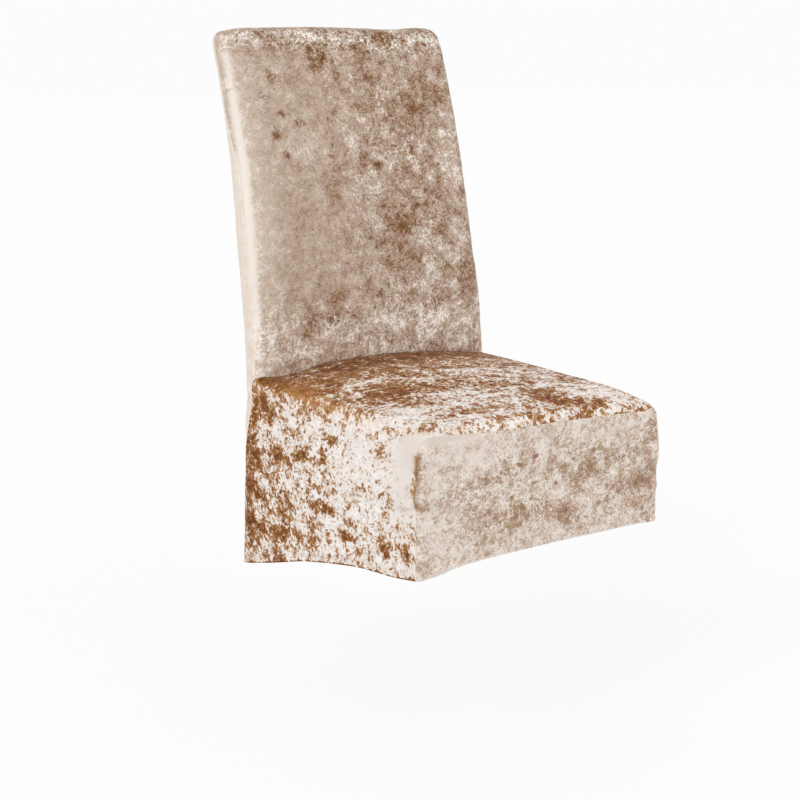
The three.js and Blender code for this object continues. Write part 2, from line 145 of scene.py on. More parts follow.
def stations_along(points, spacing, first, last):
    """Where a sheet's lines cross rows of points: `first` and `last` from the ends, `spacing` between."""
    length = np.linalg.norm(np.diff(points, axis=1), axis=2).mean(axis=0)
    reach = np.concatenate([[0], np.cumsum(length)])
    total = reach[-1]
    count = round((total - first[-1] - last[-1]) / spacing) + 1
    middle = np.linspace(first[-1], total - last[-1], count)[1:-1]
    return np.interp(np.concatenate([first, middle, total - last[::-1]]), reach, np.arange(len(reach)))


def normals_of(grid):
    """The way a grid of points faces."""
    faced = np.cross(np.gradient(grid, axis=1), np.gradient(grid, axis=0))
    return faced / np.linalg.norm(faced, axis=2, keepdims=True)


def reach_from(grid, axis, backwards=False):
    """Each point's distance, along the cloth, from the grid's first or last line."""
    step = np.linalg.norm(np.diff(grid, axis=axis), axis=2)
    if backwards:
        step = np.flip(step, axis)
    reach = np.insert(np.cumsum(step, axis=axis), 0, 0, axis=axis)
    return np.flip(reach, axis) if backwards else reach


def wavy(points, size, seed):
    """Smooth noise from -1 to 1 with features of about a size, at each point."""
    scaled = points.reshape(-1, 3) / size + seed * 17.3
    return np.array([noise.noise(Vector(p)) for p in scaled]).reshape(points.shape[:-1])


def bump(distance, centre, width):
    return np.exp(-(((distance - centre) / width) ** 2))


def turned_in(grid, axis, at_end, out, inward):
    """Adds the allowance of a seam: the cloth turns inwards and runs on under the panel."""
    start = np.take(grid, -1 if at_end else 0, axis)
    lines = [start + out * SEAM_CLOSE + inward * depth for depth in ALLOWANCE_LINES]
    if not at_end:
        lines.reverse()
    added = np.stack(lines, axis)
    return np.concatenate([grid, added] if at_end else [added, grid], axis)


def turned_up(grid, axis, at_end, out, inward):
    """Adds a hem: the cloth turns round a small radius and runs back up inside."""
    normal = normals_of(grid)
    start = np.take(grid, -1 if at_end else 0, axis)
    order = np.arange(grid.shape[axis])[::-1] if at_end else np.arange(grid.shape[axis])
    lines = []
    for angle in (45, 90, 135):
        turn = math.radians(angle)
        lines.append(start + out * HEM_RADIUS * math.sin(turn) + inward * HEM_RADIUS * (1 - math.cos(turn)))
    reach = reach_from(grid, axis, backwards=at_end)
    for k in order:
        above = np.take(reach, k, axis).mean()
        if above <= HEM_WIDTH and k % 2 == order[0] % 2:
            lines.append(np.take(grid, k, axis) - np.take(normal, k, axis) * 2 * HEM_RADIUS)
    if not at_end:
        lines.reverse()
    added = np.stack(lines, axis)
    return np.concatenate([grid, added] if at_end else [added, grid], axis)


EDGES = ("left", "right", "start", "end")  # a grid's first and last columns, then its first and last rows


class Panel:
    """One panel's cloth: its grid, how far each point is from each edge, and its places along the cloth."""

    def __init__(self, node, forward, spacing, edges):
        self.node = node
        self.edges = dict(zip(EDGES, edges))
        coarse = solid_grid(node, forward)
        ends = [AT_HEM if kind == "hem" else AT_SEAM for kind in edges]
        columns = stations_along(coarse, spacing, ends[0], ends[1])
        rows = stations_along(coarse.transpose(1, 0, 2), spacing, ends[2], ends[3])
        grid = spline(coarse, columns)
        grid = spline(grid.transpose(1, 0, 2), rows).transpose(1, 0, 2)
        self.grid = grid
        self.normal = normals_of(grid)
        self.distance = {
            "left": reach_from(grid, 1),
            "right": reach_from(grid, 1, backwards=True),
            "start": reach_from(grid, 0),
            "end": reach_from(grid, 0, backwards=True),
        }
        middle = grid.shape[0] // 2, grid.shape[1] // 2
        self.cloth_u = self.distance["left"] - self.distance["left"][:, middle[1] : middle[1] + 1]
        self.cloth_v = self.distance["start"] - self.distance["start"][middle[0] : middle[0] + 1, :]

    def ways_past(self, axis, at_end):
        """Along an edge, which way is out past it and which way is in behind it."""
        edge, before = (-1, -2) if at_end else (0, 1)
        out = np.take(self.grid, edge, axis) - np.take(self.grid, before, axis)
        return out / np.linalg.norm(out, axis=1, keepdims=True), -np.take(self.normal, edge, axis)

    def clipping(self, axis, at_end):
        """How much of a seam's allowance is left at each point of an edge: it is clipped at the corners."""
        first, last = ("start", "end") if axis == 1 else ("left", "right")
        nearest = np.minimum(self.distance[first], self.distance[last])
        return np.clip(np.take(nearest, -1 if at_end else 0, axis) / CLIPPING, CLIPPED, 1)[:, None]


UP, BACK = (0, 0, 1), (0, 1, 0)
PANELS = {
    "inside_back": Panel("inside_back", UP, 0.0030, ("seam", "seam", "close seam", "seam")),
    "outside_back": Panel("outside_back", UP, 0.0037, ("seam", "seam", "hem", "seam")),
    "seat": Panel("seat", BACK, 0.0037, ("hem", "hem", "close seam", "close seam")),
    "front_skirt": Panel("front_skirt", UP, 0.0026, ("close seam", "close seam", "hem", "close seam")),
}

# ---------------------------------------------------------------- places on the cover
# Places are in millimetres from the point of the floor under the middle of the cover's front: to the right
# as seen from in front, back, and up. The seat's mount is 220 back from there and 514 up.
MOUNT_PLACE = np.array([0, 220, 514])
seat_mount = next(m for m in frame["record"]["mounts"] if m["name"] == "chair_seat")
START = np.array(seat_mount["pos_m"]) - MOUNT_PLACE / 1000

# A negative height is a trough. Along it the colour is darker by a painted shade in troughs, grooves and seam
# lines, or brighter by a painted highlight on ridges, and the pile paler or browner by its tone, which in the
# corner grooves is painted shade too.
Crease = namedtuple("Crease", "start end width height shade tone", defaults=(0, 0))
CREASES = {
    "inside_back": (
        Crease((-205, 440, 496), (-150, 440, 502), 5, 1.6),  # a roll over the seat's rear left corner
        Crease((-208, 450, 515), (-196, 440, 509), 5, -1.2),
        # In the tuck near the top of the left seam: painted shade in its troughs and a painted highlight on
        # its ridge.
        Crease((-211, 555, 934), (-205, 520, 948), 1.8, -1.6, -0.3),  # a tuck near the top of the left seam
        Crease((-205, 520, 948), (-182, 505, 950), 1.8, -1.2, -0.16),
        Crease((-211, 548, 942), (-204, 520, 955), 3, 1.2, 0.08),
        Crease((208, 452, 548), (176, 440, 560), 9, -0.9),
        Crease((208, 470, 668), (186, 462, 690), 8, -0.8),
        Crease((-150, 441, 560), (60, 441, 548), 26, -1.2),
        Crease((-120, 520, 870), (40, 500, 800), 40, 0.9),
    ),
    "outside_back": (
        Crease((-216, 480, 470), (-190, 505, 440), 10, -1.2),
        Crease((216, 480, 470), (190, 505, 440), 10, -1.2),
        Crease((-120, 515, 360), (90, 515, 340), 30, 1.2),
        Crease((-90, 520, 640), (120, 530, 700), 45, -1.2),
    ),
    "seat": (
        # Painted shade along the trough that the rail's lower edge presses, and a painted highlight on the
        # ridge above it.
        Crease((-217, 46, 389), (-216, 8, 399), 2.2, -1.2, -0.18),  # the rail's lower edge pressing through
        Crease((-217, 44, 396), (-217, 8, 406), 4, 0.8, 0.03),
        # Painted shade in the groove down the corner, by its shade and its browner tone; below it, a painted
        # line of shade down the seam.
        Crease((-211.6, 8, 468), (-216.8, 8, 404), 6, -0.3, -0.08, -0.14),  # the groove down the corner
        Crease((-214.2, 6, 391), (-214, 6, 302), 0.8, 0, -0.14),
        Crease((-217, 470, 452), (-217, 430, 470), 7, -1.0),
        Crease((-217, 486, 400), (-218, 440, 380), 9, -1.0),
        Crease((-218, 300, 330), (-218, 230, 300), 16, 1.0),
        Crease((219, 60, 470), (219, 8, 440), 8, -1.1),
        Crease((218, 470, 452), (218, 425, 470), 8, -1.0),
        Crease((-60, 400, 512), (60, 405, 512), 26, -1.0),
    ),
    "front_skirt": (
        # A painted highlight along the ridge that the seam's allowance raises.
        Crease((-202, 1, 480), (-104, 1.4, 487.4), 1.2, 0.7, 0.09),  # the seam's allowance pressing through
        # Painted shade in the groove down the left corner, by its shade and its much browner tone, down the
        # seam below it, and along the trough under the rail's edge.
        Crease((-211, 5.5, 470), (-216.4, 5.5, 404), 4, -0.3, -0.05, -0.36),
        Crease((-214.2, 6, 391), (-214, 6, 302), 0.8, 0, -0.14),
        Crease((-214, 4, 400), (-184, 0, 396), 2.2, -1.0, -0.14),
        # Painted shade in the tuck at the right end, and painted highlights on the ridges beside it.
        Crease((212, 2, 407), (180, 2, 394), 2.4, -1.6, -0.2),  # the tuck at the right end
        Crease((180, 2, 394), (169, 2, 362), 3, -1.4, -0.14),
        Crease((214, 0, 416), (182, 0, 403), 5, 1.2, 0.07),
        Crease((171, 0, 398), (160, 0, 366), 5, 0.8, 0.05),
        Crease((196, 0, 380), (184, 0, 352), 10, 1.2),
        Crease((-40, 0, 350), (-20, 0, 320), 12, 0.7),
    ),
}

# Each face of the cover: the way it faces, and which two of a place's three numbers run along it.
FACES = {
    "top": ((0, 0, 1), (0, 1)),
    "left": ((-1, 0, 0), (1, 2)),
    "right": ((1, 0, 0), (1, 2)),
    "front": ((0, -1, 0), (0, 2)),
    "rear": ((0, 1, 0), (0, 2)),
}
# Where the pile lies differently: paler (a tone above 0) or browner, and more or less ruffled. Its shade
# makes it brighter or darker as painted light and shade, and some tones paint light and shade too, as noted
# at each.
Patch = namedtuple("Patch", "face place reach tone ruffle shade", defaults=(0, 0))
PATCHES = {
    "seat": (
        # Browner and darker towards the back: painted shade where the back stands over the seat.
        Patch("top", (0, 440), (300, 78), -0.25, 0.15, -0.15),
        Patch("top", (30, 160), (250, 170), -0.05, 0.4),
        Patch("top", (-110, 320), (130, 110), -0.05),
        Patch("top", (-150, 330), (60, 60), -0.05, -0.2),
        Patch("top", (-110, 285), (45, 30), 0.14),
        Patch("top", (-172, 262), (38, 32), 0.1),
        Patch("top", (-20, 345), (45, 18), 0.1),
        Patch("top", (-40, 242), (34, 14), 0.16),
        Patch("top", (10, 268), (30, 20), 0.18),
        Patch("top", (65, 232), (50, 42), 0.16),
        Patch("top", (145, 210), (42, 46), 0.2),
        Patch("top", (40, 185), (24, 30), 0.16),
        Patch("top", (-45, 135), (48, 48), 0.22),
        Patch("top", (-180, 110), (34, 32), 0.22),
        Patch("top", (-120, 95), (60, 28), 0.16),
        Patch("top", (-175, 68), (32, 32), 0.22),
        Patch("top", (-115, 26), (68, 34), 0.18),
        Patch("top", (-5, 60), (32, 38), 0.18),
        Patch("top", (28, 115), (26, 34), 0.18),
        Patch("top", (95, 125), (34, 42), 0.2),
        Patch("top", (150, 70), (52, 66), 0.26),
        Patch("top", (50, 20), (24, 18), 0.16),
        Patch("top", (-105, 213), (54, 30), -0.12, -0.3),
        Patch("top", (55, 74), (30, 36), -0.12),
        Patch("top", (92, 32), (36, 20), -0.16),
        Patch("top", (112, 195), (10, 30), -0.14),
        # The sides paler than the top: partly painted sheen and light where the pile turns down the sides,
        # partly the pile's own lie.
        Patch("left", (240, 350), (400, 220), 0.2, 0.2),
        Patch("left", (440, 350), (110, 140), -0.1),
        Patch("left", (480, 400), (26, 130), -0.18),
        Patch("left", (430, 462), (50, 22), -0.24),
        # A painted highlight along the seat's left rounding, with a calmer, browner pile.
        Patch("left", (300, 492), (220, 18), -0.08, -0.35, 0.04),
        Patch("left", (375, 394), (40, 13), -0.28),
        Patch("left", (305, 408), (36, 13), -0.28),
        Patch("left", (445, 385), (34, 22), -0.24),
        Patch("left", (428, 400), (20, 15), 0.26),
        Patch("left", (218, 450), (20, 8), -0.34),
        Patch("left", (240, 420), (13, 9), -0.34),
        Patch("left", (90, 460), (20, 10), -0.26),
        Patch("left", (250, 372), (38, 8), -0.18),
        Patch("left", (222, 346), (32, 12), -0.26),
        Patch("left", (264, 344), (34, 11), -0.2),
        Patch("left", (172, 340), (18, 9), -0.28),
        Patch("left", (180, 318), (24, 9), -0.24),
        Patch("left", (85, 322), (18, 11), -0.4),
        Patch("left", (30, 332), (14, 12), -0.32),
        Patch("left", (355, 310), (25, 24), -0.24),
        Patch("left", (268, 300), (18, 30), -0.28),
        Patch("left", (450, 326), (42, 14), -0.26),
        Patch("left", (410, 270), (84, 13), -0.3),
        Patch("left", (470, 250), (32, 24), -0.16),
        Patch("left", (305, 280), (28, 12), -0.2),
        Patch("left", (120, 440), (90, 60), 0.1, -0.3),
        Patch("left", (26, 420), (42, 80), 0.03, -0.65, -0.04),
        # The grey band along the front's top at the left corner: painted shade under the seat's rounded edge.
        Patch("left", (16, 476), (44, 26), 0.02, -0.75, -0.04),
        Patch("top", (-196, 4), (52, 16), 0.12, -0.75, -0.05),
        Patch("left", (95, 398), (28, 18), -0.12, 0.5),
        # A painted highlight along the seat's left rounding.
        Patch("top", (-212, 250), (22, 210), -0.06, -0.4, 0.04),
        # The right side paler too: partly painted sheen where the pile turns down, partly the pile's own lie.
        Patch("right", (240, 350), (400, 220), 0.12, 0.15),
        Patch("right", (380, 400), (70, 30), -0.2),
        Patch("right", (200, 300), (60, 30), -0.2),
    ),
    "inside_back": (
        Patch("front", (-110, 800), (120, 260), 0.03, -0.35),
        Patch("front", (90, 800), (130, 260), -0.02, 0.4),
        Patch("front", (0, 1026), (300, 22), 0.02, 1.3),
        # Paler and brighter along the bottom: painted light that lifts the shade falling there between the
        # back and the seat.
        Patch("front", (0, 545), (300, 70), 0.09, 0.4, 0.08),
        # Paler on the left side and its rounding: painted light on the faces turned to the key lamp.
        Patch("left", (500, 800), (300, 400), 0.18, -0.5),
        Patch("front", (-216, 790), (54, 340), 0.19, -0.4, 0.02),
        Patch("front", (-48, 991), (24, 20), -0.27, 0.9),
        Patch("front", (-133, 960), (10, 14), -0.14, 0.9),
        Patch("front", (-153, 928), (9, 6), -0.22, 0.9),
        Patch("front", (-130, 905), (7, 6), -0.22, 0.9),
        Patch("front", (-98, 890), (12, 6), -0.22, 0.9),
        Patch("front", (-143, 873), (8, 10), -0.19, 0.9),
        Patch("front", (-130, 843), (7, 9), -0.24, 0.9),
        Patch("front", (-45, 821), (9, 7), -0.26, 0.9),
        Patch("front", (37, 821), (10, 6), -0.22, 0.9),
        Patch("front", (-53, 786), (20, 24), -0.16),
        Patch("front", (-108, 751), (18, 9), -0.16),
        Patch("front", (42, 981), (17, 22), -0.14),
        Patch("front", (132, 922), (48, 38), -0.16),
        Patch("front", (72, 891), (17, 16), -0.14),
        Patch("front", (104, 851), (6, 18), -0.17, 0.9),
        Patch("front", (110, 757), (60, 30), -0.1),
        Patch("front", (66, 724), (26, 22), -0.18),
        Patch("front", (67, 676), (44, 34), -0.12),
        Patch("front", (142, 711), (22, 20), -0.14),
        Patch("front", (187, 616), (20, 56), -0.16),
        Patch("front", (-72, 616), (30, 16), -0.14),
        Patch("front", (-83, 582), (22, 12), -0.14, 0.9),
        Patch("front", (-38, 584), (14, 13), -0.18),
        Patch("front", (-120, 578), (18, 34), -0.14),
        Patch("front", (-98, 856), (30, 34), 0.08),
        Patch("front", (2, 876), (40, 40), 0.08),
        Patch("front", (7, 776), (34, 40), 0.1),
        Patch("front", (177, 824), (24, 60), 0.2),
        Patch("front", (114, 676), (36, 56), 0.16),
        Patch("front", (172, 696), (20, 38), 0.14),
        Patch("front", (110, 572), (110, 24), 0.16),
    ),
    "front_skirt": (
        Patch("front", (-66, 434), (38, 18), -0.14, 0.5),
        Patch("front", (-128, 410), (32, 20), -0.11, 0.5),
        Patch("front", (-73, 365), (52, 25), -0.23, 0.4),
        Patch("front", (-28, 375), (30, 14), -0.14, 0.5),
        Patch("front", (32, 355), (30, 18), -0.25, 0.4),
        Patch("front", (57, 418), (30, 26), -0.21, 0.4),
        Patch("front", (102, 424), (30, 24), -0.21, 0.4),
        Patch("front", (62, 390), (22, 15), -0.12, 0.5),
        Patch("front", (130, 376), (38, 16), -0.17, 0.5),
        # Browner below the tuck at the right end: painted shade under its fold.
        Patch("front", (187, 380), (28, 46), -0.25, 0.3),
        Patch("front", (202, 450), (15, 22), -0.17, 0.5),
        Patch("front", (157, 425), (24, 14), -0.07, 0.5),
        Patch("front", (122, 350), (32, 13), -0.09, 0.5),
        Patch("front", (-100, 319), (7, 4), -0.4),
        Patch("front", (-18, 446), (5, 3), -0.6),  # specks
        Patch("front", (-19, 408), (6, 2.4), -0.6),
        Patch("front", (89, 440), (3.5, 2.4), -0.6),
        Patch("front", (19, 401), (4, 2.4), -0.5),
        Patch("front", (-26, 385), (3.5, 2.4), -0.45),
        Patch("front", (-58, 392), (3.5, 2.4), -0.4),
        Patch("front", (-150, 470), (80, 30), 0.06, -0.3),
        # The grey band along the top at the left: painted shade under the seat's rounded edge.
        Patch("front", (-160, 489.5), (58, 6), 0.0, -0.9, -0.1),
        Patch("front", (200, 326), (30, 14), -0.06, 0.5),
    ),
    "outside_back": (
        Patch("rear", (-60, 900), (70, 60), 0.14),
        Patch("rear", (90, 760), (60, 80), -0.12),
        Patch("rear", (-90, 600), (60, 60), -0.12),
        Patch("rear", (40, 480), (90, 50), 0.14),
        Patch("rear", (-40, 300), (80, 50), -0.12),
        # Paler on the left side: painted light on the side turned to the key lamp.
        Patch("left", (500, 700), (400, 600), 0.22, -0.7),
    ),
}

# How much paler or browner the pile is along a hem's very edge, and how bright along its rows of stitches.
HEMS = {"seat": (-0.3, -0.06), "front_skirt": (0.14, 0.12), "outside_back": (-0.1, -0.06)}


def place_of(points):
    return (points - START) * 1000


def from_crease(panel, crease):
    """Each point's distance along the cloth, in millimetres, from the crease's middle line."""
    start, end = np.array(crease.start), np.array(crease.end)
    points = place_of(panel.grid)
    along = np.clip((points - start) @ (end - start) / ((end - start) @ (end - start)), 0, 1)
    away = points - start - along[..., None] * (end - start)
    above = (away * panel.normal).sum(axis=2, keepdims=True) * panel.normal
    return np.linalg.norm(away - 0.8 * above, axis=2)


def pile_and_shading_of(panel):
    """How pale and how ruffled the pile is at each point, and its shade: the painted light and shade that
    make it brighter or darker.
    """
    points = place_of(panel.grid)
    pile = np.zeros((*points.shape[:2], 3)) + (0, 1, 1)
    for patch in PATCHES[panel.node]:
        facing, axes = FACES[patch.face]
        away = (((points[..., axes] - patch.place) / patch.reach) ** 2).sum(axis=2)
        seen = np.clip(panel.normal @ np.array(facing) * 2 - 0.4, 0, 1)
        amount = seen * np.exp(-(away**1.5))
        pile += amount[..., None] * (patch.tone, patch.ruffle, patch.shade)
    for crease in CREASES[panel.node]:
        amount = bump(from_crease(panel, crease), 0, crease.width)
        pile += amount[..., None] * (crease.tone, 0, crease.shade)
    for edge, kind in panel.edges.items():
        if kind == "seam":
            pile[..., 2] += 0.06 * bump(panel.distance[edge], 0.002, 0.002)
        if kind == "hem":
            tone, shade = HEMS[panel.node]
            pile[..., 0] += tone * bump(panel.distance[edge], 0, 0.0014)
            pile[..., 2] += shade * sum(bump(panel.distance[edge], row, 0.001) for row in HEM_STITCHES)
    return pile


# ---------------------------------------------------------------- the cloth's relief
# Heights, sizes and seeds of its unevenness all over, and of the puckers along its seams.
UNEVEN = ((0.0005, 0.055, 1), (0.00022, 0.017, 2))
PUCKERS = ((0.0007, 0.012, 3), (0.0004, 0.005, 4))
PUCKER_REACH = 0.008
SEAM_RIDGE = (0.0045, 0.003)  # place and width of the ridge of the allowance inside a seam
HEM_RIDGE = (0.0004, 0.004, 0.004)  # height, place and width of the soft roll of a hem
STITCH_GROOVE = (0.00035, 0.0007)  # depth and width of the groove that a row of stitches pulls


def relief(panel):
    """How far the cloth stands out of its smooth sheet."""
    height = sum(high * wavy(panel.grid, size, seed) for high, size, seed in UNEVEN)
    for crease in CREASES[panel.node]:
        height += crease.height / 1000 * bump(from_crease(panel, crease), 0, crease.width)
    for edge, kind in panel.edges.items():
        distance = panel.distance[edge]
        if kind == "hem":
            for row in HEM_STITCHES:
                height -= STITCH_GROOVE[0] * bump(distance, row, STITCH_GROOVE[1])
            height += HEM_RIDGE[0] * bump(distance, *HEM_RIDGE[1:])
        else:
            radius, ridge, puckered = SEAMS[kind]
            turn = np.maximum(radius - distance, 0)
            height -= radius - np.sqrt(radius**2 - turn**2)
            height += ridge * bump(distance, *SEAM_RIDGE)
            puckers = sum(high * wavy(panel.grid, size, seed) for high, size, seed in PUCKERS)
            height += puckered * puckers * np.exp(-distance / PUCKER_REACH) * (distance > 0.0005)
    return height


# ---------------------------------------------------------------- materials
def rgb(red, green, blue):
    """A linear colour from the usual 0 to 255 numbers."""
    return tuple(((c / 255 + 0.055) / 1.055) ** 2.4 for c in (red, green, blue)) + (1,)


def add(tree, kind, inputs, **settings):
    """Adds a shader node. Each input is a plain value or the output that it takes."""
    made = tree.nodes.new("ShaderNode" + kind)
    for key, value in settings.items():
        setattr(made, key, value)
    for key, value in inputs.items():
        if isinstance(value, bpy.types.NodeSocket):
            tree.links.new(value, made.inputs[key])
        else:
            made.inputs[key].default_value = value
    return made


def sum_of(tree, *terms):
    """Adds up outputs, each times its own share."""
    total = None
    for output, share in terms:
        last = total if total is not None else 0.0
        total = add(tree, "Math", {0: output, 1: share, 2: last}, operation="MULTIPLY_ADD").outputs[0]
    return total


def blend(tree, share, first, second):
    return add(tree, "Mix", {0: share, 6: first, 7: second}, data_type="RGBA").outputs[2]


def ramp(tree, value, low, high, to_low=0.0, to_high=1.0):
    """A smooth step from one value to another as an output goes from low to high."""
    inputs = {"Value": value, "From Min": low, "From Max": high, "To Min": to_low, "To Max": to_high}
    return add(tree, "MapRange", inputs, interpolation_type="SMOOTHSTEP").outputs["Result"]


def noise_at(tree, place, size, detail, roughness=0.6):
    inputs = {"Vector": place, "Scale": 1 / size, "Detail": detail, "Roughness": roughness}
    return add(tree, "TexNoise", inputs, noise_dimensions="2D")


def cells_at(tree, place, size):
    """Ragged cells of about a size, each with its own colour."""
    inputs = {"Vector": place, "Scale": 1 / size, "Randomness": 1.0}
    return add(tree, "TexVoronoi", inputs, voronoi_dimensions="2D")


def first_of(tree, cells):
    """A number from 0 to 1 for each cell."""
    return add(tree, "SeparateColor", {0: cells.outputs["Color"]}).outputs[0]


def new_material(name):
    material = bpy.data.materials.new(name)
    material.use_nodes = True
    return material, material.node_tree, material.node_tree.nodes["Principled BSDF"]


# ramp: the pile's colours from its brownest, at 0, to its palest, at 1. level: where its middle lies there.
# area: the size of the patches whose pile leans one way. spread: how far those ways differ, in degrees.
# leans: the way its flakes run across the panel's middle and down its sides. flake: the flakes' size.
# mix: how much the flakes, the flecks on them, the rags torn from them and the fine grain change its tone.
# chips: how far the sharp pale and brown chips do.
Look = namedtuple("Look", "ramp level area spread leans flake mix chips")
# The panels are one velvet, but their ramps are partly painted light and shade: the inside back is greyer and
# the front skirt paler, for how the lamps and the pile's lean make each face look.
LOOKS = {
    "seat": Look(
        ((0, 98, 53, 16), (0.18, 126, 78, 33), (0.32, 154, 107, 58), (0.42, 169, 124, 77),
         (0.47, 185, 148, 109), (0.5, 215, 196, 172), (0.56, 230, 220, 212), (0.8, 240, 235, 230),
         (1, 249, 246, 243)),
        0.42, 0.024, 60, (123, 80), 0.0125, (0.2, 0.26, 0.28, 0.09), (0.15, 0.2),
    ),
    "inside_back": Look(
        ((0, 108, 72, 42), (0.22, 136, 102, 72), (0.34, 154, 125, 99), (0.42, 172, 149, 129),
         (0.54, 180, 161, 143), (0.6, 190, 172, 154), (0.72, 205, 190, 175), (0.8, 226, 216, 206),
         (1, 244, 238, 232)),
        0.51, 0.024, 360, (0, 0), 0.0075, (0.16, 0.18, 0.3, 0.2), (0.1, 0.18),
    ),
    "outside_back": Look(
        ((0, 120, 82, 50), (0.25, 148, 110, 76), (0.4, 176, 144, 112), (0.46, 202, 180, 158),
         (0.6, 222, 207, 192), (0.82, 236, 227, 216), (1, 248, 243, 236)),
        0.5, 0.024, 360, (0, 0), 0.008, (0.22, 0.16, 0.3, 0.14), (0.16, 0.18),
    ),
    "front_skirt": Look(
        ((0, 146, 116, 88), (0.2, 166, 140, 116), (0.36, 184, 160, 138), (0.46, 196, 176, 157),
         (0.51, 209, 194, 181), (0.58, 219, 207, 197), (0.8, 232, 222, 213), (1, 246, 240, 235)),
        0.56, 0.022, 360, (0, 0), 0.007, (0.2, 0.2, 0.42, 0.32), (0.12, 0.16),
    ),
}

# As shares of the flakes' size: that of the noise that tears their edges, how far it tears them, and the
# sizes of the smaller bits.
TEAR, TORN = 0.9, 0.75
FLECK, RAG, CHIP = 0.42, 0.7, 0.36
NARROW = 0.68  # a bit's width as a share of its length
GRAIN, NAP, CLOUD = 0.0026, 0.0009, 0.02  # sizes of the fine grain, the nap and the drifting hue
SIDE_START, SIDE_END = 0.2, 0.215  # where a panel's middle turns into its sides, from its middle line
BROAD, LEANING = 0.62, 0.1  # how much the broad clouds, and each patch's lean, change its tone
PALE_CHIPS, BROWN_CHIPS = (0.59, 0.61), (0.38, 0.4)  # parts of the noise that are chips
HUES = (0.486, 0.506)


def velvet(name, look):
    """Pile crushed flat in patches, each leaning its own way, into ragged flakes from brown to cream."""
    material, tree, shader = new_material(name)
    cloth = add(tree, "Attribute", {}, attribute_name="cloth").outputs["Vector"]
    pile = add(tree, "Attribute", {}, attribute_name="pile").outputs["Vector"]
    tone, ruffle, shade = add(tree, "SeparateXYZ", {0: pile}).outputs
    push = noise_at(tree, cloth, look.flake * TEAR, 3, 0.62).outputs["Color"]
    reach = (look.flake * TORN,) * 3
    pushed = add(tree, "VectorMath", {0: push, 1: reach, 2: cloth}, operation="MULTIPLY_ADD").outputs[0]
    areas = cells_at(tree, pushed, look.area)
    area = first_of(tree, areas)
    across = add(tree, "SeparateXYZ", {0: areas.outputs["Position"]}).outputs[0]
    beside = add(tree, "Math", {0: across}, operation="ABSOLUTE").outputs[0]
    middle_lean, side_lean = (math.radians(lean) for lean in look.leans)
    lean = ramp(tree, beside, SIDE_START, SIDE_END, middle_lean, side_lean)
    spread = math.radians(look.spread)
    around = add(tree, "MapRange", {"Value": area, "To Min": -spread / 2, "To Max": spread / 2})
    angle = add(tree, "Math", {0: around.outputs["Result"], 1: lean}, operation="ADD").outputs[0]
    leaning = add(tree, "VectorRotate", {"Vector": pushed, "Angle": angle}, rotation_type="Z_AXIS")
    squeeze = {0: leaning.outputs[0], 1: (NARROW, 1.0, 1.0)}
    long = add(tree, "VectorMath", squeeze, operation="MULTIPLY").outputs[0]
    broad = noise_at(tree, pushed, look.area * 1.1, 4, 0.6).outputs[0]
    flakes = first_of(tree, cells_at(tree, long, look.flake))
    flecks = first_of(tree, cells_at(tree, long, look.flake * FLECK))
    rags = noise_at(tree, long, look.flake * RAG, 4, 0.7).outputs[0]
    chips = noise_at(tree, long, look.flake * CHIP, 2, 0.6).outputs[0]
    grains = noise_at(tree, cloth, GRAIN, 3, 0.75).outputs[0]
    shares = ((broad, BROAD), (area, LEANING), *zip((flakes, flecks, rags, grains), look.mix))
    pale = ramp(tree, chips, *PALE_CHIPS)
    brown = ramp(tree, chips, *BROWN_CHIPS, 1, 0)
    waves = sum_of(tree, *shares, (pale, look.chips[0]), (brown, -look.chips[1]))
    middle = sum(share for _, share in shares) / 2
    centred = add(tree, "Math", {0: waves, 1: middle}, operation="SUBTRACT").outputs[0]
    ruffled = add(tree, "Math", {0: centred, 1: ruffle}, operation="MULTIPLY").outputs[0]
    value = sum_of(tree, (ruffled, 1.0), (tone, 1.0))
    value = add(tree, "Math", {0: value, 1: look.level}, operation="ADD").outputs[0]
    colours = add(tree, "ValToRGB", {"Fac": value})
    stops = colours.color_ramp.elements
    for position, *colour in look.ramp[1:-1]:
        stops.new(position).color = rgb(*colour)
    stops[0].color, stops[-1].color = rgb(*look.ramp[0][1:]), rgb(*look.ramp[-1][1:])
    cloud = noise_at(tree, cloth, CLOUD, 3).outputs[0]
    nap = noise_at(tree, cloth, NAP, 3, 0.7).outputs[0]
    # The nap's fine flicker, times the shade: painted light and shade from the creases, grooves, hollows and
    # roundings.
    nap_and_shade = add(tree, "Math", {0: ramp(tree, nap, 0.3, 0.7, 0.94, 1.06), 1: shade}, operation="MULTIPLY")
    hue = ramp(tree, cloud, 0.3, 0.7, *HUES)
    tint = {"Color": colours.outputs[0], "Hue": hue, "Value": nap_and_shade.outputs[0]}
    colour = add(tree, "HueSaturation", tint).outputs[0]
    tree.links.new(colour, shader.inputs["Base Color"])
    tree.links.new(ramp(tree, value, 0.3, 0.7, 0.85, 0.7), shader.inputs["Roughness"])
    shader.inputs["Specular IOR Level"].default_value = 0.15
    shader.inputs["Sheen Weight"].default_value = 0.06
    shader.inputs["Sheen Roughness"].default_value = 0.4
    height = sum_of(tree, (value, 0.0012), (nap, 0.0002))
    lumps = add(tree, "Bump", {"Height": height, "Distance": 1.0, "Strength": 0.5})
    tree.links.new(lumps.outputs[0], shader.inputs["Normal"])
    return material


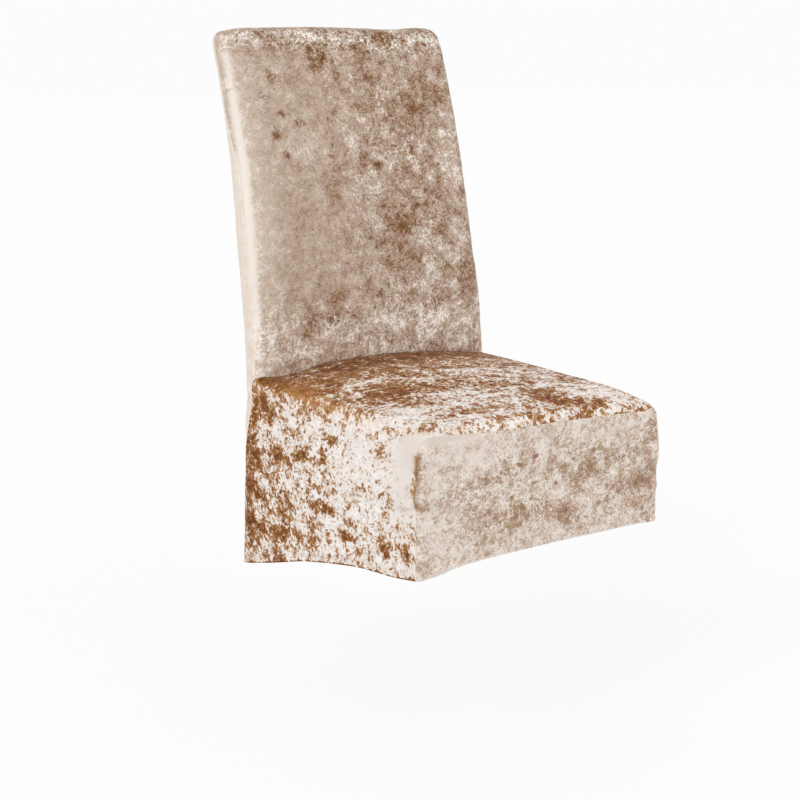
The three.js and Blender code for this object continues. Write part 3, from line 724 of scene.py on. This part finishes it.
def backing():
    """The wrong side of the velvet: a plain fine knit."""
    material, tree, shader = new_material("knit_backing")
    place = add(tree, "TexCoord", {}).outputs["Object"]
    loops = {"Vector": place, "Scale": 260.0, "Distortion": 1.5}
    loops = add(tree, "TexWave", loops, bands_direction="Z")
    ribs = {"Vector": place, "Scale": 200.0, "Distortion": 1.0}
    ribs = add(tree, "TexWave", ribs, bands_direction="DIAGONAL")
    knit = sum_of(tree, (loops.outputs["Fac"], 0.5), (ribs.outputs["Fac"], 0.5))
    tree.links.new(blend(tree, knit, rgb(176, 150, 128), rgb(212, 192, 172)), shader.inputs["Base Color"])
    shader.inputs["Roughness"].default_value = 0.9
    lumps = add(tree, "Bump", {"Height": knit, "Distance": 0.0003, "Strength": 0.6})
    tree.links.new(lumps.outputs[0], shader.inputs["Normal"])
    return material


def thread():
    material, tree, shader = new_material("thread")
    place = add(tree, "TexCoord", {}).outputs["Object"]
    twist = noise_at(tree, place, 0.0008, 2).outputs[0]
    tree.links.new(blend(tree, twist, rgb(206, 182, 160), rgb(236, 220, 206)), shader.inputs["Base Color"])
    shader.inputs["Roughness"].default_value = 0.6
    return material


# ---------------------------------------------------------------- pieces
def new_piece(name, points, faces):
    mesh = bpy.data.meshes.new(name)
    mesh.from_pydata(points.tolist(), [], faces.tolist())
    mesh.update()
    mesh.polygons.foreach_set("use_smooth", [True] * len(faces))
    piece = bpy.data.objects.new(name, mesh)
    bpy.context.scene.collection.objects.link(piece)
    return piece


def sheet_of(panel, outside, inside):
    """A closed sheet with the panel's relief, its seams turned in and its hems turned up."""
    cloth = np.stack([panel.cloth_u, panel.cloth_v, 0 * panel.cloth_u], axis=2)
    values = np.concatenate([pile_and_shading_of(panel), cloth], axis=2)
    grid = panel.shaped
    lines = {}  # how many lines of points each edge's allowance or hem adds
    for edge, (axis, at_end) in zip(EDGES, ((1, False), (1, True), (0, False), (0, True))):
        turn = turned_up if panel.edges[edge] == "hem" else turned_in
        size = grid.shape[axis]
        beside = (lines["left"], lines["right"]) if axis == 0 else (0, 0)
        out, inward = panel.ways_past(axis, at_end)
        if turn is turned_in:
            inward = inward * panel.clipping(axis, at_end)
        out, inward = (np.pad(way, (beside, (0, 0)), mode="edge") for way in (out, inward))
        splayed = np.full((len(out), 1), CORNER_SPLAY)
        splayed[beside[0] : len(out) - beside[1]] = 0
        grid = turn(grid, axis, at_end, out, inward + splayed * out)
        lines[edge] = grid.shape[axis] - size
    pad = ((lines["start"], lines["end"]), (lines["left"], lines["right"]), (0, 0))
    values = np.pad(values, pad, mode="edge").reshape(-1, 6)

    rows, columns = grid.shape[:2]
    count = rows * columns
    points = np.concatenate([grid.reshape(-1, 3), (grid - normals_of(grid) * CLOTH).reshape(-1, 3)])
    index = np.arange(count).reshape(rows, columns)
    right = np.stack([index[:-1, :-1], index[:-1, 1:], index[1:, 1:], index[1:, :-1]], axis=-1)
    right = right.reshape(-1, 4)
    ring = np.concatenate([index[0, :-1], index[:-1, -1], index[-1, :0:-1], index[:0:-1, 0]])
    after = np.roll(ring, -1)
    rim = np.stack([ring, ring + count, after + count, after], axis=-1)
    piece = new_piece(panel.node + "_velvet", points, np.concatenate([right, right[:, ::-1] + count, rim]))
    for name, three in (("pile", values[:, :3]), ("cloth", values[:, 3:])):
        layer = piece.data.attributes.new(name, "FLOAT_VECTOR", "POINT")
        layer.data.foreach_set("vector", np.tile(three, (2, 1)).astype(np.float32).ravel())
    piece.data.materials.append(outside)
    piece.data.materials.append(inside)
    sides = np.repeat([0, 1, 1], [len(right), len(right), len(rim)])
    piece.data.polygons.foreach_set("material_index", sides.astype(np.int32))
    return piece


def stitches_of(panel, material):
    """Two rows of short threads along each hem, joined as one mesh."""
    points, faces = [], []
    around = np.radians([0, 90, 180, 270])
    for edge in (e for e in EDGES if panel.edges[e] == "hem"):
        for row in HEM_STITCHES:
            k = int(abs(AT_HEM - row).argmin())
            if edge in ("right", "end"):
                k = -1 - k
            axis = 1 if edge in ("left", "right") else 0
            line = np.take(panel.shaped, k, axis)
            facing = np.take(panel.normal, k, axis)
            reach = np.insert(np.cumsum(np.linalg.norm(np.diff(line, axis=0), axis=1)), 0, 0)
            for start in np.arange(STITCH_END, reach[-1] - STITCH_END - STITCH_LENGTH, STITCH_PITCH):
                stops = start + STITCH_LENGTH * np.array([0, 0.25, 0.75, 1])
                path = np.stack([np.interp(stops, reach, line[:, c]) for c in range(3)], axis=1)
                up = np.stack([np.interp(stops, reach, facing[:, c]) for c in range(3)], axis=1)
                side = np.cross(path[-1] - path[0], up[0])
                side /= np.linalg.norm(side)
                base = sum(len(p) for p in points)
                ring = np.cos(around)[:, None] * side * 1.2 + np.sin(around)[:, None] * up[1]
                middle = [path[i] + up[i] * STITCH_RADIUS * 0.6 + ring * STITCH_RADIUS for i in (1, 2)]
                points.append(np.concatenate([path[:1], *middle, path[3:]]))
                for a, b in ((0, 1), (1, 2), (2, 3), (3, 0)):
                    faces.append((base, base + 1 + b, base + 1 + a))
                    faces.append((base + 1 + a, base + 1 + b, base + 5 + b))
                    faces.append((base + 1 + a, base + 5 + b, base + 5 + a))
                    faces.append((base + 9, base + 5 + a, base + 5 + b))
    piece = new_piece(panel.node + "_stitches", np.concatenate(points), np.array(faces))
    piece.data.materials.append(material)
    return piece


knit, sewing_thread = backing(), thread()
for node, panel in PANELS.items():
    panel.shaped = panel.grid + panel.normal * relief(panel)[..., None]
    piece = sheet_of(panel, velvet("velvet_" + node, LOOKS[node]), knit)
    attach(piece, "root")
    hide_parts(node)
    if "hem" in panel.edges.values():
        stitches = stitches_of(panel, sewing_thread)
        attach(stitches, "root")


# ---------------------------------------------------------------- floor, light and camera
def seen_directly(tree, share):
    """A share of what the camera sees itself, in a reflection or through something clear; 0 of the rest."""
    path = add(tree, "LightPath", {}).outputs
    kinds = ("Is Camera Ray", "Is Glossy Ray", "Is Transmission Ray")
    return sum_of(tree, *((path[kind], share) for kind in kinds))


PAPER = (0.975, 0.975, 0.975, 1)  # the backdrop, as the camera sees it
SKY = (1.0, 0.987, 0.985, 1)
SKY_STRENGTH = 0.66
FLOOR_SIZE = 120
FLOOR_GLOW = 0.88  # the rest of the floor shows the object's shadow

world = bpy.data.worlds.new("studio")
bpy.context.scene.world = world
world.use_nodes = True
tree = world.node_tree
sky = add(tree, "Background", {"Color": SKY, "Strength": SKY_STRENGTH})
paper = add(tree, "Background", {"Color": PAPER, "Strength": 1.0})
seen = seen_directly(tree, 1.0)
mixed = add(tree, "MixShader", {0: seen, 1: sky.outputs[0], 2: paper.outputs[0]})
tree.links.new(mixed.outputs[0], tree.nodes["World Output"].inputs["Surface"])

floor_material, tree, shader = new_material("floor")
shader.inputs["Base Color"].default_value = (0.9, 0.9, 0.9, 1)
shader.inputs["Roughness"].default_value = 0.9
shader.inputs["Specular IOR Level"].default_value = 0.0
glow = add(tree, "Emission", {"Color": (1, 1, 1, 1), "Strength": 1.0})
seen = seen_directly(tree, FLOOR_GLOW)
mixed = add(tree, "MixShader", {0: seen, 1: shader.outputs[0], 2: glow.outputs[0]})
tree.links.new(mixed.outputs[0], tree.nodes["Material Output"].inputs["Surface"])
square = np.array([(-1, -1, 0), (1, -1, 0), (1, 1, 0), (-1, 1, 0)])
floor = new_piece("floor", square * FLOOR_SIZE / 2 + (0, 0, START[2]), np.array([(0, 1, 2, 3)]))
floor.data.materials.append(floor_material)


LIT = Vector((0, -0.25, -0.5))  # the lamps point at the cover's middle


def sun(name, place, energy, colour, spread):
    """A lamp whose light comes from a place's direction, soft by its spread in degrees."""
    light = bpy.data.lights.new(name, "SUN")
    light.energy = energy
    light.color = colour
    light.angle = math.radians(spread)
    made = bpy.data.objects.new(name, light)
    bpy.context.scene.collection.objects.link(made)
    made.location = place
    aim = LIT - Vector(place)
    made.rotation_euler = aim.to_track_quat("-Z", "Y").to_euler()


sun("key", (-2.6, -0.9, 1.6), 1.1, (1.0, 0.993, 0.98), 24)
sun("fill", (1.2, -3.0, 0.9), 0.75, (1.0, 0.99, 0.98), 60)

camera_data = bpy.data.cameras.new("camera")
camera_data.lens = 66.807
camera_data.sensor_width = 36
camera = bpy.data.objects.new("camera", camera_data)
bpy.context.scene.collection.objects.link(camera)
camera.location = (-1.27829, -2.15641, -0.07303)
camera.rotation_euler = (math.radians(77.66), 0, math.radians(-33.41))
bpy.context.scene.camera = camera

bpy.context.scene.view_settings.view_transform = "Standard"
